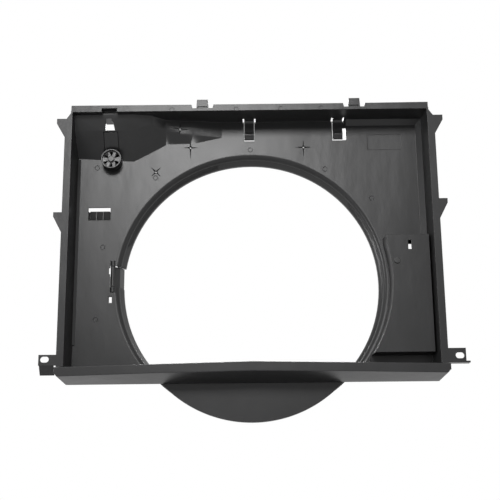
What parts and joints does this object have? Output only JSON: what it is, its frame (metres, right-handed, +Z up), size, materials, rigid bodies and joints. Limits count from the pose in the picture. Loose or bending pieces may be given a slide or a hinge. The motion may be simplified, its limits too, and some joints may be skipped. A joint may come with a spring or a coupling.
{
  "type": "radiator fan shroud",
  "caption": "Moulded radiator fan shroud with a rolled fan ring, lower rail and scoop, air flap, spring tongues and a turn knob.",
  "frame": {"origin": "in the plane of the rim that seals on the radiator, midway between the side walls and 5.5 mm above the fan axis", "axes": "+X to the right seen from the radiator, +Y along the fan axis towards the engine, +Z up"},
  "size_m": [0.64, 0.075, 0.5028],
  "materials": {
    "shroud_plastic": "satin moulded black, glass-filled nylon",
    "fitting_plastic": "satin moulded black, unfilled",
    "fastener_steel": "zinc plated"
  },
  "bodies": {
    "root": {"shroud_housing": "shroud_plastic", "lower_rail": "shroud_plastic", "lower_scoop": "shroud_plastic", "fan_ring": "shroud_plastic", "ring_screws": "fastener_steel", "scoop_screws": "fastener_steel", "latch_strap": "fitting_plastic", "knob_pivot": "fitting_plastic", "corner_cover": "shroud_plastic", "cover_rivet": "fitting_plastic", "flap_pin": "fastener_steel", "ring_stop": "shroud_plastic"},
    "knob_body": {"turn_knob": "fitting_plastic"},
    "flap_body": {"ring_flap": "fitting_plastic"},
    "left_tongue_body": {"left_tongue": "fitting_plastic"},
    "right_tongue_body": {"right_tongue": "fitting_plastic"},
    "left_catch_body": {"left_top_catch": "shroud_plastic"},
    "right_catch_body": {"right_top_catch": "shroud_plastic"}
  },
  "joints": [
    {"name": "knob_turn", "type": "hinge", "parent": "root", "child": "knob_body", "pos_m": [-0.222, 0.04, 0.1975], "axis": [0, 1, 0], "range_deg": [0, 90]},
    {"name": "flap_swing", "type": "hinge", "parent": "root", "child": "flap_body", "pos_m": [-0.217, 0.052, 0.008], "axis": [0, 0, 1], "range_deg": [0, 25]},
    {"name": "left_tongue_flex", "type": "hinge", "parent": "root", "child": "left_tongue_body", "pos_m": [-0.001, 0.0363, 0.26515], "axis": [1, 0, 0], "range_deg": [0, 10], "stiffness_Nm_per_rad": 1.5},
    {"name": "right_tongue_flex", "type": "hinge", "parent": "root", "child": "right_tongue_body", "pos_m": [0.142, 0.0363, 0.26515], "axis": [1, 0, 0], "range_deg": [0, 10], "stiffness_Nm_per_rad": 1.5},
    {"name": "left_catch_flex", "type": "hinge", "parent": "root", "child": "left_catch_body", "pos_m": [-0.0745, 0.00125, 0.2688], "axis": [-1, 0, 0], "range_deg": [0, 8], "stiffness_Nm_per_rad": 1},
    {"name": "right_catch_flex", "type": "hinge", "parent": "root", "child": "right_catch_body", "pos_m": [0.1655, 0.00125, 0.2688], "axis": [-1, 0, 0], "range_deg": [0, 8], "stiffness_Nm_per_rad": 1}
  ]
}
